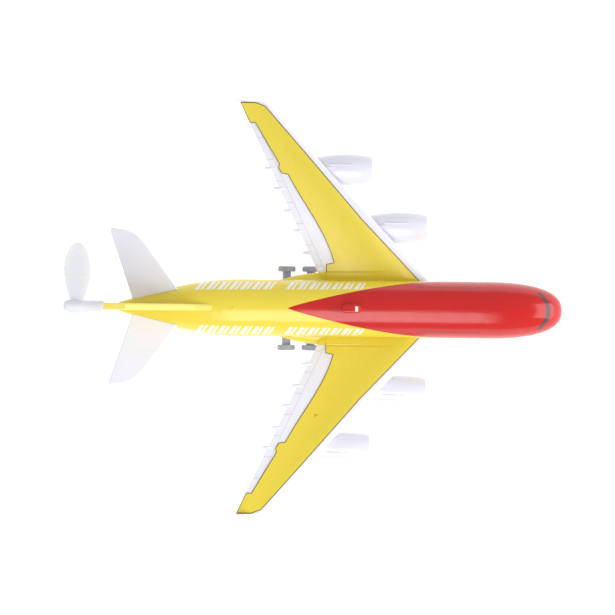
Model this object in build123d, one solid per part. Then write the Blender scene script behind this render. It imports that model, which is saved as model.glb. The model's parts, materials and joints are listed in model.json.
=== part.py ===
"""A string-hung toy airliner with a pusher propeller, as separate pieces in one frame.

+X points to the nose, +Y to the port wing tip, +Z up. The origin is on the ground, midway between the nose and the
aft end of the propeller. Millimetres.
"""

import os
from math import cos, radians, sin, sqrt

from build123d import *

# ---- driving dimensions -------------------------------------------------------------------------------------------
# Fits and walls
WALL = 1.5  # fuselage and fairing wall
JOINT_GAP = 0.05  # between glued or seated pieces
FIT_GAP = 0.1  # around a tab in its slot
RUN_GAP = 0.05  # radial, between a turning shaft and its bore
PRESS_GAP = 0.02  # radial, between a pressed pin and its hole

# Fuselage
NOSE_X = 190.0
NOSE_LENGTH = 60.0
NOSE_TIP_Z = 33.0
TAIL_X = -147.0
TAIL_TAPER = 91.0  # length over which the sides and the top close in
TAIL_UPSWEEP = 107.0  # length over which the belly rises
TAIL_AXIS_Z = 47.0
TAIL_HALF_WIDTH = 3.6
TAIL_HALF_HEIGHT = 3.8
BODY_HALF_WIDTH = 21.8
BODY_TOP_Z = 61.0
BODY_BOTTOM_Z = 10.0
NOSE_PLAN_POWER = 2.5  # superellipse power of the nose seen from above
NOSE_SIDE_POWER = 2.15  # and seen from the side
SEAM_Z = 30.0  # joint of the two shells
SEAM_KINK_X = -60.0  # aft of here the joint climbs to the tail axis

# Belly fairing
FAIRING_Z = 18.0
FAIRING_HEIGHT = 9.2
FAIRING_WIDTH = 28.8
FAIRING_AFT_X = -48.0
FAIRING_NOSE_X = 108.0

# Wing
WING_ROOT_Y = 19.5
WING_TIP_Y = 156.6
LEADING_ROOT_X = 91.4
LEADING_TIP_X = -37.6
TRAILING_ROOT_X = 7.2
TRAILING_TIP_X = -57.6
WING_ROOT_Z = 21.9  # underside
WING_RISE = 0.136  # dihedral, rise over run
ROOT_THICKNESS = 7.2
TIP_THICKNESS = 2.6
TRAILING_THICKNESS = 1.2
PANEL_PROUD = 0.45  # the yellow top panel stands this far above the white wing
PANEL_INLAY = 0.6  # and sinks this far into it
PANEL_MARGINS = ((0.0, 8.4), (0.36, 9.2), (0.72, 5.9), (0.98, 4.0))  # span share, and white ahead of the panel there
PANEL_MARGIN_EDGE = 0.6  # white left behind the panel and outboard of it
WING_TAB_X = (30.0, 64.0)  # aft ends of the tabs at the wing root
WING_TAB_LENGTH = 10.0
WING_TAB_INNER_Y = 17.3
WING_TAB_Z = (23.9, 25.9)
GATE_PIP = (2.8, -82.1, 0.9)  # x, y and radius of the gate mark left on the starboard panel
FENCE_THICKNESS = 1.2
FENCE_HEIGHT = 13.0
FENCE_CHORD = 18.0
FLAP_POD_Y = (42.9, 59.6, 74.9, 91.7, 106.8)
FLAP_POD_LENGTH = 18.0
FLAP_POD_RADIUS = 1.6
FLAP_POD_END_RADIUS = 1.0
FLAP_POD_OVERHANG = 4.6

# Engine pods: (name, distance from the centre line, x of the intake face)
ENGINES = (("inner", 63.0, 87.0), ("outer", 107.0, 44.0))
INTAKE_RADIUS = 10.2
POD_RADIUS = 12.05
POD_LENGTH = 54.0
EXHAUST_RADIUS = 7.6
INTAKE_BORE = 8.9
POD_CORE_RADIUS = 6.2
FAN_DEPTH = 12.0
FAN_THICKNESS = 2.0
FAN_BLADES = 12
FAN_HUB_RADIUS = 4.0
FAN_BLADE_CHORD = 2.2
FAN_BLADE_THICKNESS = 0.6
FAN_BLADE_PITCH_DEG = 30.0
POD_DROP = 10.3  # pod axis below the wing's underside
PYLON_THICKNESS = 2.6

# Fin and tailplanes
FIN_THICKNESS = 5.0
FIN_TIP_Z = 113.0
FIN_ROOT_NOSE_X = -78.0
FIN_TIP_NOSE_X = -135.5
FIN_TIP_TAIL_X = -151.5
FIN_ROOT_TAIL_X = -142.5
TAILPLANE_THICKNESS = 2.8
TAILPLANE_Z = 48.6
TAILPLANE_RISE_DEG = 5.0
TAILPLANE_SPAN = 118.8

# Propeller
PROP_DIAMETER = 96.8
PROP_HUB_RADIUS = 4.55
PROP_HUB_FRONT_X = -158.6
PROP_HUB_LENGTH = 31.0
PROP_BLADE_X = -179.2
PROP_BLADE_THICKNESS = 1.5
SHAFT_RADIUS = 1.0
BUSH_RADIUS = 2.2
BUSH_TAIL = 10.0  # how far the bush stands out of the tail cone

# Motor
MOTOR_REAR_X = -98.0
MOTOR_RADIUS = 10.05
MOTOR_FLAT = 7.55  # half height over the flats
MOTOR_LENGTH = 25.0
MOTOR_CAN_WALL = 0.8
CRADLE_X = (MOTOR_REAR_X + 5.0, MOTOR_REAR_X + 17.0)
STRAP_HALF_WIDTH = MOTOR_RADIUS + 4.6
STRAP_SCREW_Y = MOTOR_RADIUS + 2.9

# Battery compartment
CELL_RADIUS = 7.25
CELL_LENGTH = 49.5
CELL_SPACING = 15.2
CELL_Z = 19.4
TRAY_REAR_X = 17.0
TRAY_WALL = 1.2
CONTACT_ROOM = 5.4  # spring and plate, both ends together
DOOR_AFT_X = 13.0
DOOR_FRONT_X = 90.0
DOOR_HALF_WIDTH = 14.0
DOOR_GAP = 0.15
DOOR_SEAT_Z = FAIRING_Z - FAIRING_HEIGHT + 0.9  # under the door screw's head

# Landing gear
MAIN_WHEEL_RADIUS = 6.85
MAIN_WHEEL_WIDTH = 4.1
MAIN_WHEEL_OUTER_Y = 32.7
MAIN_AXLES = (("front", -2.1), ("rear", -21.0))
WHEEL_BOSS_RADIUS = 3.3
WHEEL_BOSS_INNER_Y = 22.4
AXLE_RADIUS = 1.0
BRACKET_INNER_Y = 16.5
NOSE_GEAR_X = 140.0
NOSE_WHEEL_RADIUS = 4.2
NOSE_WHEEL_WIDTH = 3.0
NOSE_LEG_WIDTH = 3.0
NOSE_LEG_FOOT_Z = 2 * NOSE_WHEEL_RADIUS + 0.6  # the leg widens above the wheels
NOSE_STEM_RADIUS = 2.4
NOSE_STEM_LENGTH = 11.0

# String eye
EYE_X = 28.2
EYE_LENGTH = 14.4
EYE_WIDTH = 6.4
EYE_HEIGHT = 5.2
EYE_HOLE_RADIUS = 1.4

# Screws through both shells
SHELL_SCREW_X = (125.0, -11.5, -62.0)
SCREW_RADIUS = 1.3
SCREW_HEAD_RADIUS = 2.5
SCREW_HEAD_HEIGHT = 1.6
SHELL_SCREW_LENGTH = 14.0
SCREW_SEAT_Z = 22.0

# Power switch
SWITCH_X = 104.0
SWITCH_TRAVEL = 3.5
SWITCH_FLOOR_Z = BODY_BOTTOM_Z + WALL + 0.35  # underside of the switch's ear plate

BIG = 400.0  # larger than the airplane, for half spaces


# ---- basic shapes -------------------------------------------------------------------------------------------------
def box(x0, x1, y0, y1, z0, z1):
    """A block between two corners."""
    centre = ((x0 + x1) / 2, (y0 + y1) / 2, (z0 + z1) / 2)
    return Pos(*centre) * Box(abs(x1 - x0), abs(y1 - y0), abs(z1 - z0))


def rod(radius, start, end):
    """A round bar between two points that lie on a line along X, Y or Z."""
    path = Vector(*end) - Vector(*start)
    plane = Plane(origin=start, z_dir=path)
    return plane * Cylinder(radius, path.length, align=(Align.CENTER, Align.CENTER, Align.MIN))


def solids_of(shape):
    """The shape as one solid, or as a compound of its separate solids."""
    found = shape.solids()
    return found[0] if len(found) == 1 else Compound(children=list(found))


def port_and_starboard(shape):
    """A port piece and its mirror image."""
    return {"port": shape, "starboard": mirror(shape, about=Plane.XZ)}


def ellipse_wire(x, half_width, half_height, z):
    """An upright ellipse across the airplane at x."""
    plane = Plane(origin=(x, 0, z), x_dir=(0, 1, 0), z_dir=(1, 0, 0))
    return (plane * Ellipse(half_width, half_height)).face().outer_wire()


# ---- fuselage form ------------------------------------------------------------------------------------------------
def tail_blend(x, length):
    """0 at the tail end, 1 at and ahead of the full section."""
    share = min(max((x - TAIL_X) / length, 0.0), 1.0)
    return sin(radians(90.0 * share))


def nose_blend(x, power):
    """1 back to the full section, 0 at the nose tip."""
    share = max((x - (NOSE_X - NOSE_LENGTH)) / NOSE_LENGTH, 0.0)
    return (1.0 - share**power) ** (1.0 / power)


def fuselage_section(x):
    """Half width, half height and middle height of the fuselage at x."""
    sides = tail_blend(x, TAIL_TAPER)
    belly = tail_blend(x, TAIL_UPSWEEP)
    half_width = TAIL_HALF_WIDTH + (BODY_HALF_WIDTH - TAIL_HALF_WIDTH) * sides
    top = TAIL_AXIS_Z + TAIL_HALF_HEIGHT + (BODY_TOP_Z - TAIL_AXIS_Z - TAIL_HALF_HEIGHT) * sides
    bottom = TAIL_AXIS_Z - TAIL_HALF_HEIGHT + (BODY_BOTTOM_Z - TAIL_AXIS_Z + TAIL_HALF_HEIGHT) * belly
    half_width *= nose_blend(x, NOSE_PLAN_POWER)
    nose = nose_blend(x, NOSE_SIDE_POWER)
    top = NOSE_TIP_Z + (top - NOSE_TIP_Z) * nose
    bottom = NOSE_TIP_Z + (bottom - NOSE_TIP_Z) * nose
    return half_width, (top - bottom) / 2, (top + bottom) / 2


def fuselage_stations(aft, front):
    """Stations close together where the form curves most."""
    tail = [aft + (SEAM_KINK_X - aft) * step / 8 for step in range(8)]
    middle = [SEAM_KINK_X, -40.0, -20.0, 20.0, 60.0, 100.0]
    nose_start = NOSE_X - NOSE_LENGTH
    nose = [nose_start + (front - nose_start) * sin(radians(9.0 * step)) for step in range(11)]
    return tail + middle + nose


def fuselage_solid(grow):
    """The whole fuselage form, grown outwards (or shrunk, if negative) by the given amount."""
    tip = 0.3  # flat left at the very end of the nose
    wires = []
    for x in fuselage_stations(TAIL_X - min(grow, 0.0) * 2, NOSE_X - tip + min(grow, 0.0)):
        half_width, half_height, middle = fuselage_section(x)
        wires.append(ellipse_wire(x, max(half_width + grow, 0.4), max(half_height + grow, 0.4), middle))
    return Solid.make_loft(wires)


def fairing_share(x):
    """Fullness of the belly fairing at x, from its ends to its middle."""
    middle = 30.0
    reach = (middle - FAIRING_AFT_X) if x < middle else (FAIRING_NOSE_X - middle)
    share = min(abs(x - middle) / reach, 1.0)
    return sqrt(max(1.0 - share**2.6, 0.0))


def fairing_solid(grow):
    """The belly fairing's form, grown by the given amount."""
    steps = 14
    inset = 3.0 - grow
    length = FAIRING_NOSE_X - FAIRING_AFT_X - 2 * inset
    wires = []
    for step in range(steps + 1):
        x = FAIRING_AFT_X + inset + length * (1 - cos(radians(180.0 * step / steps))) / 2
        share = fairing_share(x)
        wires.append(
            ellipse_wire(x, FAIRING_WIDTH * share + grow, (2.5 + (FAIRING_HEIGHT - 2.5) * share) + grow, FAIRING_Z)
        )
    return Solid.make_loft(wires)


def below_seam(gap):
    """The space under the joint of the two shells; gap lowers (or, if negative, raises) its top."""
    outline = Polyline(
        (BIG, SEAM_Z - gap),
        (SEAM_KINK_X, SEAM_Z - gap),
        (TAIL_X, TAIL_AXIS_Z - gap),
        (TAIL_X - BIG, TAIL_AXIS_Z - gap),
        (TAIL_X - BIG, -BIG),
        (BIG, -BIG),
        close=True,
    )
    return extrude(Plane.XZ * make_face(outline), BIG / 2, both=True)


# ---- wing form ----------------------------------------------------------------------------------------------------
def span_share(y):
    return (y - WING_ROOT_Y) / (WING_TIP_Y - WING_ROOT_Y)


def leading_x(y):
    return LEADING_ROOT_X + (LEADING_TIP_X - LEADING_ROOT_X) * span_share(y)


def trailing_x(y):
    return TRAILING_ROOT_X + (TRAILING_TIP_X - TRAILING_ROOT_X) * span_share(y)


def wing_underside_z(y):
    return WING_ROOT_Z + (y - WING_ROOT_Y) * WING_RISE


def wing_section(y, lift):
    """A closed wing section at y, with its upper surface raised by lift."""
    thickness = ROOT_THICKNESS + (TIP_THICKNESS - ROOT_THICKNESS) * span_share(y)
    plane = Plane(origin=(0, y, wing_underside_z(y)), x_dir=(1, 0, 0), z_dir=(0, -1, 0))
    front = leading_x(y)
    back = trailing_x(y)
    chord = front - back
    nose = (front, 0.38 * thickness)
    crest = (front - 0.36 * chord, thickness + lift)
    back_top = (back, TRAILING_THICKNESS + lift)
    upper = Spline(back_top, crest, nose, tangents=[(1.0, 0.12), (0.0, -1.0)])
    lower = Spline(nose, (front - 0.16 * chord, 0.0), (back, 0.0), tangents=[(0.0, -1.0), (-1.0, 0.0)])
    back_edge = Line((back, 0.0), back_top)
    return plane * Wire([upper.edge(), lower.edge(), back_edge.edge()])


def wing_solid(lift=0.0):
    return Solid.make_loft([wing_section(WING_ROOT_Y, lift), wing_section(WING_TIP_Y, lift)], ruled=True)


def panel_outline(inset):
    """Plan outline of the yellow panel on the port wing, inset all round."""
    sweep = (LEADING_ROOT_X - LEADING_TIP_X) / (WING_TIP_Y - WING_ROOT_Y)
    lean = sqrt(1 + sweep**2)
    edge = PANEL_MARGIN_EDGE + inset
    tip_y = WING_TIP_Y - edge
    front = []
    for share, margin in PANEL_MARGINS:
        y = WING_ROOT_Y + (tip_y - WING_ROOT_Y) * share
        front.append((leading_x(y) - margin - inset * lean, y))
    front_tip = (leading_x(tip_y) - 9.0, tip_y)
    back_tip = (trailing_x(tip_y) + edge, tip_y)
    step_y = 141.2
    step = (trailing_x(step_y) + edge, step_y)
    outer_corner = (trailing_x(step_y) + 4.6 + inset, step_y)
    notch_outer = (-27.2 + inset, 110.4)
    notch_inner = (-27.6 + inset, 106.8)
    notch_foot = (-25.2 + inset, 103.2)
    bay_outer = (-20.4 + inset, 102.4)
    bay_middle = (-3.4 + inset, 74.4)
    bay_inner = (9.2 + inset, 52.2)
    bay_end = (15.6 + inset, 35.2)
    back_root = (9.8 + inset, 34.0)
    back_foot = (9.8 + inset, WING_ROOT_Y)
    straight = [back_root, back_foot, *front, front_tip, back_tip, step, outer_corner]
    straight += [notch_outer, notch_inner, notch_foot, bay_outer]
    lines = [Line(a, b) for a, b in zip(straight, straight[1:])]
    bay = Spline(bay_outer, bay_middle, bay_inner, bay_end)
    closing = Line(bay_end, back_root)
    return make_face([*lines, bay, closing])


def panel_column(inset):
    return extrude(panel_outline(inset), BIG / 2)


# ---- wing pieces --------------------------------------------------------------------------------------------------
def wing_tabs(grow):
    """Tabs at the wing root that pass through the fuselage side."""
    low, high = WING_TAB_Z
    outer_y = WING_ROOT_Y + 4.5
    return [
        box(x0 - grow, x0 + WING_TAB_LENGTH + grow, WING_TAB_INNER_Y - grow, outer_y, low - grow, high + grow)
        for x0 in WING_TAB_X
    ]


def flap_pods():
    """Slender flap-track pods under the trailing edge, blunt at both ends."""
    end = FLAP_POD_LENGTH / 2
    profile = Polyline(
        (-end, 0),
        (-end, FLAP_POD_END_RADIUS),
        (-end / 2, FLAP_POD_RADIUS),
        (end / 2, FLAP_POD_RADIUS),
        (end, FLAP_POD_END_RADIUS),
        (end, 0),
        close=True,
    )
    pod = revolve(make_face(profile), Axis.X, 360)
    pods = []
    for y in FLAP_POD_Y:
        middle_x = trailing_x(y) - FLAP_POD_OVERHANG + end
        pods.append(Pos(middle_x, y, wing_underside_z(y) + 0.1) * pod)
    return pods


def tip_fence():
    """The small upright plate at the wing tip."""
    z = wing_underside_z(WING_TIP_Y) + TIP_THICKNESS / 2
    front = LEADING_TIP_X - 4.0
    back = front - FENCE_CHORD
    profile = Polyline(
        (front, z),
        (back + 5.0, z + FENCE_HEIGHT / 2),
        (back, z + FENCE_HEIGHT / 2),
        (back + 1.6, z),
        (back, z - FENCE_HEIGHT / 2),
        (back + 5.0, z - FENCE_HEIGHT / 2),
        close=True,
    )
    plate = extrude(Plane.XZ * make_face(profile), -FENCE_THICKNESS)
    return Pos(0, WING_TIP_Y - 0.2, 0) * plate


def build_wing(body, fairing):
    """The white port wing moulding."""
    recess = (panel_column(-JOINT_GAP) & wing_solid(3.0)) - wing_solid(-PANEL_INLAY - JOINT_GAP)
    wing = (wing_solid() - body - fairing) + flap_pods() + tip_fence() + wing_tabs(0.0)
    wing = wing - recess
    for _, y, intake_x in ENGINES:
        wing = wing - pylon_pegs(y, intake_x, PRESS_GAP)
    return wing


def build_top_panel(body, fairing):
    """The yellow panel laid on the port wing."""
    panel = (panel_column(0.0) & wing_solid(PANEL_PROUD)) - wing_solid(-PANEL_INLAY)
    return max((panel - body - fairing).solids(), key=lambda piece: piece.volume)


def with_gate_pip(panel):
    """The starboard panel with the small round gate mark on its top."""
    x, y, radius = GATE_PIP
    under_pip = panel & rod(radius / 2, (x, y, 0), (x, y, BODY_TOP_Z))
    return panel + Pos(x, y, under_pip.bounding_box().max.Z - radius / 3) * Sphere(radius)


# ---- engine pods --------------------------------------------------------------------------------------------------
def pod_axis_z(y):
    return wing_underside_z(y) - POD_DROP


def pod_plane(y, intake_x):
    """A plane at the middle of the intake whose x axis runs aft."""
    return Plane(origin=(intake_x, y, pod_axis_z(y)), x_dir=(-1, 0, 0), z_dir=(0, 0, 1))


def pylon_pegs(y, intake_x, grow):
    """Pegs that hold a pod's pylon in the wing."""
    underside = wing_underside_z(y)
    return [
        rod(1.2 + grow, (leading_x(y) - back, y, underside - 3.0), (leading_x(y) - back, y, underside + 1.3 + grow))
        for back in (9.0, 17.0)
    ]


def build_nacelle(y, intake_x):
    """One engine pod with its pylon, crest and exhaust plug."""
    outer = Spline(
        (0.6, INTAKE_RADIUS),
        (19.0, POD_RADIUS),
        (43.0, 9.8),
        (POD_LENGTH, EXHAUST_RADIUS),
        tangents=[(1.0, 0.22), (1.0, -0.24)],
    )
    lip = ThreePointArc((0.6, INTAKE_RADIUS), (-0.0, INTAKE_RADIUS - 0.65), (0.6, INTAKE_BORE))
    outline = [
        outer,
        lip,
        Polyline(
            (0.6, INTAKE_BORE),
            (FAN_DEPTH, INTAKE_BORE),
            (FAN_DEPTH, POD_CORE_RADIUS),
            (POD_LENGTH - 10.0, POD_CORE_RADIUS),
            (POD_LENGTH - 10.0, 0.0),
            (POD_LENGTH + 5.0, 0.0),
            (POD_LENGTH - 3.0, 4.2),
            (POD_LENGTH - 3.0, EXHAUST_RADIUS - 1.2),
            (POD_LENGTH, EXHAUST_RADIUS - 1.2),
            (POD_LENGTH, EXHAUST_RADIUS),
        ),
    ]
    shell = pod_plane(y, intake_x) * revolve(make_face(outline), Axis.X, 360)
    axis_z = pod_axis_z(y)
    underside = wing_underside_z(y)
    front = leading_x(y)
    side = Polyline(
        (front + 9.0, axis_z + POD_RADIUS - 2.0),
        (front + 9.0, axis_z + POD_RADIUS - 0.7),
        (front - 2.0, underside + 1.6),
        (front - 24.0, underside + 0.6),
        (front - 24.0, axis_z + EXHAUST_RADIUS - 2.0),
        (front - 8.0, axis_z + POD_RADIUS - 3.5),
        close=True,
    )
    pylon = Pos(0, y, 0) * extrude(Plane.XZ * make_face(side), PYLON_THICKNESS / 2, both=True)
    hollow = pod_plane(y, intake_x) * Rot(0, 90, 0) * Cylinder(
        POD_RADIUS - 3.2, POD_LENGTH - 12.0, align=(Align.CENTER, Align.CENTER, Align.MIN)
    )
    pod = shell + (pylon - hollow) + crest(y, intake_x)
    return (pod - wing_solid(PANEL_PROUD)) + pylon_pegs(y, intake_x, 0.0)


def crest(y, intake_x):
    """A low rib on the port shoulder of every pod, which all come from one mould."""
    lean = radians(14.5)
    length = 18.0
    start = 15.0
    radius = POD_RADIUS - 0.2
    place = Pos(intake_x - start - length / 2, y + radius * sin(lean), pod_axis_z(y) + radius * cos(lean))
    rib = Box(length, 0.9, 1.6)
    return place * Rot(-14.5, 0, 0) * fillet(rib.edges().filter_by(Axis.X), 0.35)


def build_fan(y, intake_x):
    """The fan pressed into a pod: a disc, a spinner and a ring of blades."""
    radius = INTAKE_BORE - JOINT_GAP
    back = FAN_DEPTH - JOINT_GAP
    front = back - FAN_THICKNESS
    hub_front = front - 2.4
    spinner = [(hub_front, FAN_HUB_RADIUS), (hub_front - 1.4, 3.1), (hub_front - 2.6, 1.2), (hub_front - 2.6, 0)]
    rim = [(back, 0), (back, radius), (front, radius), (front, FAN_HUB_RADIUS)]
    profile = make_face(Polyline(*rim, *spinner, close=True))
    disc = revolve(profile, Axis.X, 360)
    root = FAN_HUB_RADIUS - 0.3
    length = radius - 0.4 - root
    blade = Box(FAN_BLADE_CHORD, FAN_BLADE_THICKNESS, length)
    blade = Pos(front - 0.8, 0, root + length / 2) * Rot(0, 0, FAN_BLADE_PITCH_DEG) * blade
    blades = [Rot(360.0 * turn / FAN_BLADES, 0, 0) * blade for turn in range(FAN_BLADES)]
    return pod_plane(y, intake_x) * (disc + blades)


# ---- shells -------------------------------------------------------------------------------------------------------
def cavity():
    """The hollow inside the fuselage and the fairing, closed off ahead of the tail end."""
    return fuselage_solid(-WALL) - box(-BIG, TAIL_X + 5.0, -BIG, BIG, -BIG, BIG)


def bush_bore():
    start = (TAIL_X - BUSH_TAIL, 0, TAIL_AXIS_Z)
    return rod(BUSH_RADIUS + PRESS_GAP, start, (TAIL_X + 12.0, 0, TAIL_AXIS_Z))


def fin_tabs(grow):
    """Tabs under the fin, in slots in the upper shell."""
    return [
        box(x0 - grow, x0 + 9.0 + grow, -1.2 - grow, 1.2 + grow, top - 3.4, top + 2.0)
        for x0, top in ((-108.0, fin_foot_z(-108.0)), (-130.0, fin_foot_z(-130.0)))
    ]


def fin_foot_z(x):
    """Height of the fuselage's crown at x."""
    _, half_height, middle = fuselage_section(x)
    return middle + half_height


def tailplane_tab(grow):
    """The port tailplane's tab through the shell side."""
    return box(-126.0 - grow, -114.0 + grow, 6.6 - grow, 14.0, TAILPLANE_Z - 1.0 - grow, TAILPLANE_Z + 1.0 + grow)


def eye_slot(grow):
    """The string eye's foot through the crown."""
    half = EYE_LENGTH / 2 - 1.5 + grow
    return box(EYE_X - half, EYE_X + half, -1.6 - grow, 1.6 + grow, BODY_TOP_Z - 8.0, BODY_TOP_Z + 1.0)


def screw_posts():
    """Posts that hang from the crown and take the shell screws."""
    posts = [rod(3.2, (x, 0, seam_z(x) + JOINT_GAP), (x, 0, BODY_TOP_Z)) for x in SHELL_SCREW_X]
    return posts


def seam_z(x):
    """Height of the shells' joint at x."""
    if x >= SEAM_KINK_X:
        return SEAM_Z
    return SEAM_Z + (TAIL_AXIS_Z - SEAM_Z) * (SEAM_KINK_X - x) / (SEAM_KINK_X - TAIL_X)


def build_upper_shell(outer, inner, mid_wall):
    shell = outer - inner
    posts = [post & mid_wall for post in screw_posts()]
    shell = shell + posts
    for x in SHELL_SCREW_X:
        foot = (x, 0, seam_z(x) - 1.0)
        shell = shell - rod(SCREW_RADIUS + PRESS_GAP, foot, (x, 0, seam_z(x) + SHELL_SCREW_LENGTH))
    shell = shell - below_seam(-JOINT_GAP)
    slots = fin_tabs(FIT_GAP) + [eye_slot(FIT_GAP), bush_bore()]
    slots += list(port_and_starboard(tailplane_tab(FIT_GAP)).values())
    for slot in slots:
        shell = shell - slot
    pip = Pos(-60.2, 0, fin_foot_z(-60.2)) * Sphere(0.8)
    return shell + (pip - inner)


def axle_brackets():
    """Plates under the belly that carry the main axles."""
    plates = []
    for _, x in MAIN_AXLES:
        for side in (-1, 1):
            outer_y = WHEEL_BOSS_INNER_Y - 0.4
            lower = MAIN_WHEEL_RADIUS - 3.2
            plates.append(box(x - 3.6, x + 3.6, side * BRACKET_INNER_Y, side * outer_y, lower, FAIRING_Z))
    return plates


def shell_bosses():
    """Screw tubes in the lower shell."""
    return [rod(3.8, (x, 0, BODY_BOTTOM_Z + 0.4), (x, 0, seam_z(x))) for x in SHELL_SCREW_X]


def screw_tunnel(x):
    """Way in for a shell screw and its head, from under the belly."""
    seat = seam_z(x) - SEAM_Z + SCREW_SEAT_Z
    way = rod(SCREW_HEAD_RADIUS + 0.3, (x, 0, 0), (x, 0, seat))
    return way + rod(SCREW_RADIUS + FIT_GAP, (x, 0, seat - 1), (x, 0, BODY_TOP_Z / 2 + 10.0))


def door_zone(grow):
    return box(DOOR_AFT_X - grow, DOOR_FRONT_X + grow, -DOOR_HALF_WIDTH - grow, DOOR_HALF_WIDTH + grow, 0, 15.0)


def switch_slot(grow):
    """Opening in the belly that the switch knob travels in."""
    half = 2.0 + SWITCH_TRAVEL + grow
    return box(SWITCH_X - half, SWITCH_X + half, -1.9 - grow, 1.9 + grow, 0, BODY_BOTTOM_Z + WALL + 1.0)


def build_lower_shell(outer, inner, fairing, fairing_inner, mid_wall):
    skin = (outer + fairing) - inner - fairing_inner
    shell = skin & below_seam(JOINT_GAP)
    for plate in axle_brackets():
        shell = shell + (plate - mid_wall)
    for boss in [*shell_bosses(), nose_leg_socket()]:
        shell = shell + (boss & mid_wall & below_seam(JOINT_GAP))
    for x in SHELL_SCREW_X:
        shell = shell - screw_tunnel(x)
    for _, x in MAIN_AXLES:
        height = MAIN_WHEEL_RADIUS
        shell = shell - rod(AXLE_RADIUS + RUN_GAP, (x, -BIG / 4, height), (x, BIG / 4, height))
    shell = shell - bush_bore() - door_zone(DOOR_GAP) - switch_slot(0.3) - nose_leg_stem(FIT_GAP)
    for tab in wing_tabs(FIT_GAP):
        for slot in port_and_starboard(tab).values():
            shell = shell - slot
    return max(shell.solids(), key=lambda piece: piece.volume)


def build_battery_door(outer, inner, fairing, fairing_inner):
    """The door cut from the fairing's underside, with a tongue aft and a screw hole in front."""
    skin = ((outer + fairing) - inner - fairing_inner) & door_zone(0.0)
    door = max(skin.solids(), key=lambda piece: piece.volume)
    ledge = FAIRING_Z - FAIRING_HEIGHT + WALL
    tongue = box(DOOR_AFT_X - 3.0, DOOR_AFT_X + 3.0, -5.0, 5.0, ledge + 0.3, ledge + 1.2)
    door = door + tongue + box(DOOR_AFT_X + 0.2, DOOR_AFT_X + 3.0, -5.0, 5.0, ledge - 0.8, ledge + 1.2)
    hole = rod(SCREW_RADIUS + FIT_GAP, (door_screw_x(), 0, 0), (door_screw_x(), 0, 20.0))
    return door - hole - rod(SCREW_HEAD_RADIUS + FIT_GAP, (door_screw_x(), 0, 0), (door_screw_x(), 0, DOOR_SEAT_Z))


# ---- fin, tailplanes, string eye ----------------------------------------------------------------------------------
def build_fin(body):
    """A slab fin with a rounded leading edge and a dorsal foot."""
    profile = Polyline(
        (FIN_ROOT_TAIL_X, 46.0),
        (FIN_ROOT_TAIL_X, TAIL_AXIS_Z + 8.0),
        (FIN_TIP_TAIL_X, FIN_TIP_Z),
        (FIN_TIP_NOSE_X, FIN_TIP_Z),
        (FIN_ROOT_NOSE_X - 11.0, BODY_TOP_Z + 4.0),
        (FIN_ROOT_NOSE_X + 2.0, BODY_TOP_Z - 0.6),
        (FIN_ROOT_NOSE_X - 6.0, 46.0),
        close=True,
    )
    fin = extrude(Plane.XZ * make_face(profile), FIN_THICKNESS / 2, both=True)
    upright = fin.edges().filter_by(lambda edge: abs(edge.center().Y) > 1.0 and edge.center().Z > BODY_TOP_Z + 0.5)
    front = upright.filter_by(lambda edge: edge.center().X > -135.0)
    rest = upright.filter_by(lambda edge: edge.center().X <= -135.0)
    fin = fillet(front, 1.9)
    return (fillet_near(fin, rest, 0.9) - body) + fin_tabs(0.0)


def fillet_near(shape, wanted, radius):
    """Round the edges of shape whose middles are those of the wanted edges."""
    middles = [edge.center() for edge in wanted]
    edges = shape.edges().filter_by(lambda edge: any((edge.center() - middle).length < 1.6 for middle in middles))
    return fillet(edges, radius) if edges else shape


def build_tailplane(body):
    """The port tailplane: a thin slab with rounded edges and a swept-back curved tip."""
    tip_y = TAILPLANE_SPAN / 2
    leading = Spline((-96.0, 4.0), (-123.0, 41.5), (-132.0, 52.5), tangents=[(-0.58, 0.81), (-0.70, 0.71)])
    curl = Spline((-132.0, 52.5), (-141.0, 57.8), (-152.2, tip_y), tangents=[(-0.70, 0.71), (-1.0, 0.06)])
    corner = ThreePointArc((-152.2, tip_y), (-153.6, tip_y - 0.9), (-153.8, tip_y - 2.4))
    trailing = Line((-153.8, tip_y - 2.4), (-136.4, 4.0))
    root = Line((-136.4, 4.0), (-96.0, 4.0))
    plan = make_face([leading, curl, corner, trailing, root])
    slab = extrude(plan, TAILPLANE_THICKNESS / 2, both=True)
    rims = slab.edges().filter_by(lambda edge: abs(edge.center().Z) > 1.0 and edge.center().Y > 5.0)
    slab = fillet(rims, 1.0)
    slab = Pos(0, 0, TAILPLANE_Z) * Pos(0, 10, 0) * Rot(TAILPLANE_RISE_DEG, 0, 0) * Pos(0, -10, 0) * slab
    return max((slab - body).solids(), key=lambda piece: piece.volume) + tailplane_tab(0.0)


def build_string_eye(body):
    """The lug on the crown with a cross hole for the hanging string."""
    lug = Pos(EYE_X, 0, BODY_TOP_Z - 1.0) * Box(
        EYE_LENGTH, EYE_WIDTH, EYE_HEIGHT + 1.0, align=(Align.CENTER, Align.CENTER, Align.MIN)
    )
    lug = fillet(lug.edges().filter_by(Axis.Z), 2.8)
    lug = fillet(lug.faces().sort_by(Axis.Z)[-1].edges(), 1.6)
    hole_z = BODY_TOP_Z + EYE_HEIGHT / 2 + 0.2
    lug = (lug - body) + eye_slot(0.0) & box(-BIG, BIG, -BIG, BIG, BODY_TOP_Z - 6.0, BIG)
    flange = box(EYE_X - 7.0, EYE_X + 7.0, -3.0, 3.0, BODY_TOP_Z - 5.4, BODY_TOP_Z - 3.8)
    hole = rod(EYE_HOLE_RADIUS, (EYE_X, -BIG / 8, hole_z), (EYE_X, BIG / 8, hole_z))
    return lug + flange - hole


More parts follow.
